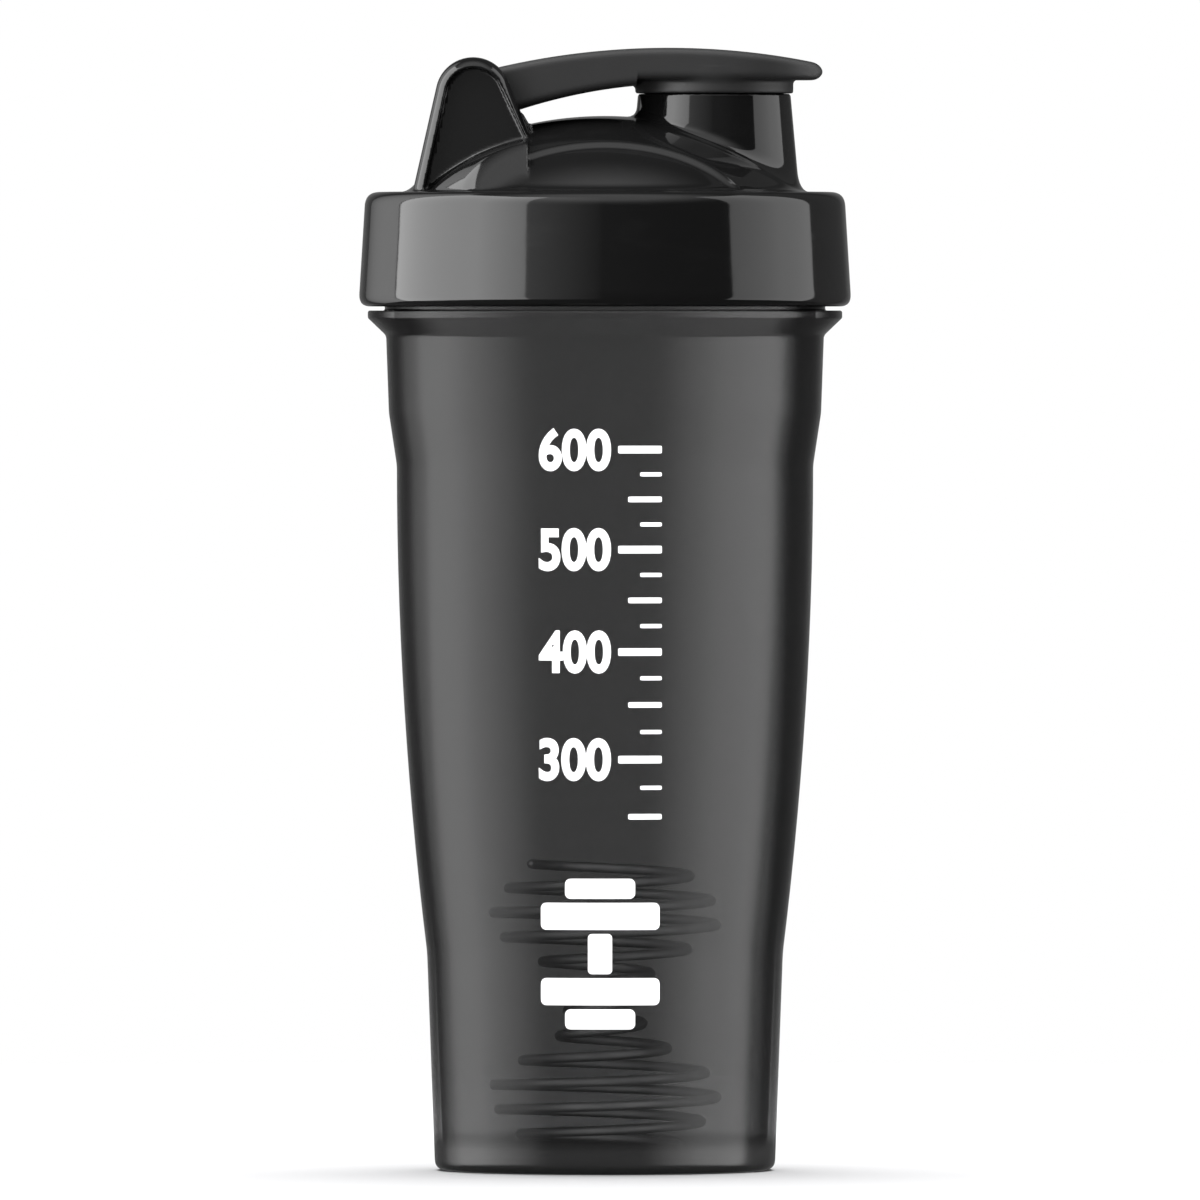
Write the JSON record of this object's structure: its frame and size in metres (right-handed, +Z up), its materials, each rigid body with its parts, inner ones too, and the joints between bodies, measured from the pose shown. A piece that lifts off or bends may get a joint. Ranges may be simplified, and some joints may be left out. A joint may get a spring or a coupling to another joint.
{
  "type": "protein shaker bottle",
  "caption": "Tapered smoked plastic shaker cup with a black screw lid, a domed top with a drinking spout, a flip cap hinged between two ears, and a loose coil mixer inside.",
  "frame": {"origin": "centre of the cup's foot, on the surface that the bottle stands on", "axes": "+Z up along the cup's axis, +X towards the drinking spout, with the cap's hinge on the -X side"},
  "size_m": [0.0982, 0.0982, 0.2246],
  "materials": {
    "smoked_plastic": "satin, smoked and slightly see-through",
    "gloss_black_plastic": "high gloss moulded polypropylene",
    "satin_black_plastic": "fine satin moulded polypropylene",
    "silicone": "matt translucent grey",
    "stainless_wire": "drawn and polished wire"
  },
  "bodies": {
    "cup": {"cup": "smoked_plastic"},
    "mixer": {"coil_mixer": "stainless_wire"},
    "gasket": {"lid_gasket": "silicone"},
    "lid": {"screw_lid": "gloss_black_plastic"},
    "cap": {"flip_cap": "satin_black_plastic", "spout_seal": "silicone"}
  },
  "joints": [
    {"name": "mixer_rattle", "type": "slide", "parent": "cup", "child": "mixer", "axis": [0, 0, 1], "range_m": [0, 0.12]},
    {"name": "lid_rise", "type": "slide", "parent": "cup", "child": "gasket", "axis": [0, 0, 1], "range_m": [0, 0.0321]},
    {"name": "lid_turn", "type": "hinge", "parent": "gasket", "child": "lid", "pos_m": [0, 0, 0.18], "axis": [0, 0, 1], "range_deg": [0, 1440]},
    {"name": "cap_flip", "type": "hinge", "parent": "lid", "child": "cap", "pos_m": [-0.0272, 0, 0.2149], "axis": [0, -1, 0], "range_deg": [0, 190]}
  ],
  "couplings": [
    {"joint": "lid_rise", "follows": "lid_turn", "m_per_rad": 0.0012732}
  ]
}
